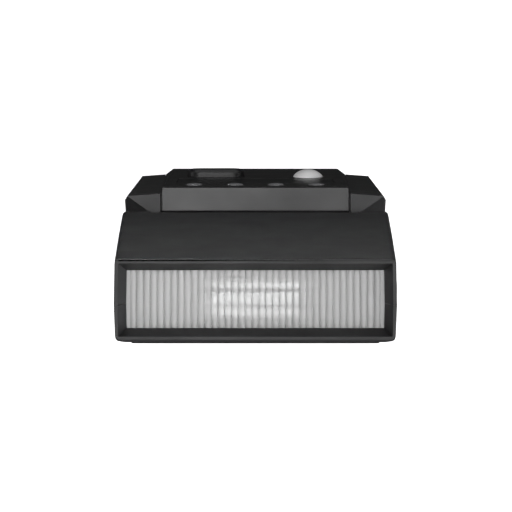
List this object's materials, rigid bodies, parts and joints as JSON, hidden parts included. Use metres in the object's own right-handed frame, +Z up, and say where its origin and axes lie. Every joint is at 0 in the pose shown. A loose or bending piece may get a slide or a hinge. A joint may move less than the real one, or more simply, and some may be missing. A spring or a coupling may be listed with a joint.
{
  "type": "speedlight flash",
  "caption": "Shoe-mount camera flash with a swivelling, tilting zoom head, a ribbed front lens and a rear control panel.",
  "frame": {"origin": "centre of the underside of the shoe foot", "axes": "+Z up from the foot to the head, +Y out of the rear control panel, +X to the battery door; the head points straight up"},
  "size_m": [0.0802, 0.0559, 0.148],
  "materials": {
    "casing_plastic": "fine matte texture, moulded",
    "panel_plastic": "satin, moulded",
    "rubber": "matte",
    "button_metal": "satin metallised",
    "display_glass": "polished acrylic window",
    "lcd": "display glass",
    "lens_plastic": "ribbed clear acrylic",
    "red_window": "polished dark red acrylic",
    "white_plastic": "white, moulded",
    "reflector_metal": "polished",
    "tube_glass": "clear",
    "steel": "plated",
    "foot_metal": "brushed",
    "contact_gold": "gold plated",
    "circuit_board": "solder-masked laminate",
    "cell_wrap": "printed film without print",
    "dark_plastic": "moulded",
    "capacitor_sleeve": "shrink sleeve",
    "copper": "varnished wire"
  },
  "bodies": {
    "body": {"front_shell": "casing_plastic", "back_shell": "casing_plastic", "console_cover": "panel_plastic", "display_window": "display_glass", "display_panel": "lcd", "control_board": "circuit_board", "power_board": "circuit_board", "power_transformer": "dark_plastic", "main_capacitor": "capacitor_sleeve", "battery_tray": "dark_plastic", "battery_cells": "cell_wrap", "battery_contacts": "steel", "door_hinge_pin": "steel", "af_assist_window": "red_window", "af_assist_lamp": "white_plastic", "sensor_window": "red_window", "shoe_base": "casing_plastic", "shoe_foot": "foot_metal", "shoe_contacts": "contact_gold", "base_screws": "steel", "body_screws": "steel", "swivel_bearing_plate": "steel"},
    "turret": {"swivel_turret": "casing_plastic", "swivel_retainer": "steel", "tilt_shaft": "steel"},
    "head": {"head_back_shell": "casing_plastic", "head_front_shell": "casing_plastic", "head_hinge_bracket": "steel", "head_chassis": "dark_plastic", "head_screws": "steel", "hinge_cap": "casing_plastic", "front_lens": "lens_plastic", "zoom_motor": "steel", "guide_rods": "steel", "trigger_coil": "copper"},
    "zoom_carriage": {"zoom_carriage": "white_plastic", "reflector": "reflector_metal", "flash_tube": "tube_glass", "tube_terminals": "steel"},
    "leadscrew": {"zoom_leadscrew": "steel"},
    "tilt_release": {"tilt_release_button": "rubber"},
    "key_1": {"function_key_1": "casing_plastic"},
    "key_2": {"function_key_2": "casing_plastic"},
    "key_3": {"function_key_3": "casing_plastic"},
    "key_4": {"function_key_4": "casing_plastic"},
    "rocker": {"rocker_key": "casing_plastic"},
    "test_button": {"test_button": "button_metal"},
    "power_switch": {"power_switch": "dark_plastic"},
    "battery_door": {"battery_door": "casing_plastic", "door_contacts": "contact_gold"},
    "door_latch": {"door_latch": "rubber"},
    "lock_lever": {"lock_lever": "dark_plastic"},
    "lock_pin": {"lock_pin": "steel", "lock_pin_spring": "steel"}
  },
  "joints": [
    {"name": "head_swivel", "type": "hinge", "parent": "body", "child": "turret", "pos_m": [0, -0.006, 0.088], "axis": [0, 0, 1], "range_deg": [-180, 180]},
    {"name": "head_tilt", "type": "hinge", "parent": "turret", "child": "head", "pos_m": [0, -0.0095, 0.108], "axis": [1, 0, 0], "range_deg": [0, 90]},
    {"name": "zoom_slide", "type": "slide", "parent": "head", "child": "zoom_carriage", "axis": [0, 0, 1], "range_m": [-0.008, 0.004]},
    {"name": "leadscrew_spin", "type": "hinge", "parent": "head", "child": "leadscrew", "pos_m": [-0.025, -0.0116, 0.12], "axis": [0, 0, 1], "range_deg": [-725, 365]},
    {"name": "tilt_release", "type": "slide", "parent": "head", "child": "tilt_release", "axis": [-1, 0, 0], "range_m": [0, 0.0012], "stiffness_N_per_m": 600},
    {"name": "key_1_press", "type": "slide", "parent": "body", "child": "key_1", "axis": [0, -0.9928, -0.1201], "range_m": [0, 0.0005], "stiffness_N_per_m": 400},
    {"name": "key_2_press", "type": "slide", "parent": "body", "child": "key_2", "axis": [0, -0.9928, -0.1201], "range_m": [0, 0.0005], "stiffness_N_per_m": 400},
    {"name": "key_3_press", "type": "slide", "parent": "body", "child": "key_3", "axis": [0, -0.9928, -0.1201], "range_m": [0, 0.0005], "stiffness_N_per_m": 400},
    {"name": "key_4_press", "type": "slide", "parent": "body", "child": "key_4", "axis": [0, -0.9928, -0.1201], "range_m": [0, 0.0005], "stiffness_N_per_m": 400},
    {"name": "test_press", "type": "slide", "parent": "body", "child": "test_button", "axis": [0, -0.9928, -0.1201], "range_m": [0, 0.0006], "stiffness_N_per_m": 400},
    {"name": "power_slide", "type": "slide", "parent": "body", "child": "power_switch", "axis": [-0.0254, 0, 0.9997], "range_m": [0, 0.0046]},
    {"name": "battery_door_hinge", "type": "hinge", "parent": "body", "child": "battery_door", "pos_m": [0.03601, -0.00565, 0.02045], "axis": [0, 1, 0], "range_deg": [0, 90]},
    {"name": "door_latch_slide", "type": "slide", "parent": "battery_door", "child": "door_latch", "axis": [-0.0254, 0, -0.9997], "range_m": [0, 0.0015], "stiffness_N_per_m": 300},
    {"name": "lock_lever_turn", "type": "hinge", "parent": "body", "child": "lock_lever", "pos_m": [0, 0, 0.0105], "axis": [0, 0, 1], "range_deg": [0, 50]},
    {"name": "lock_pin_drop", "type": "slide", "parent": "body", "child": "lock_pin", "axis": [0, 0, -1], "range_m": [0, 0.0017], "deforming": ["lock_pin_spring"]},
    {"name": "rocker_rock", "type": "hinge", "parent": "body", "child": "rocker", "pos_m": [-0.0125, 0.02155, 0.04753], "axis": [0, 0.1201, -0.9928], "range_deg": [-3, 3], "stiffness_Nm_per_rad": 0.3}
  ],
  "couplings": [
    {"joint": "lock_pin_drop", "follows": "lock_lever_turn", "m_per_rad": 0.0019479},
    {"joint": "leadscrew_spin", "follows": "zoom_slide", "rad_per_m": 1570.8}
  ]
}
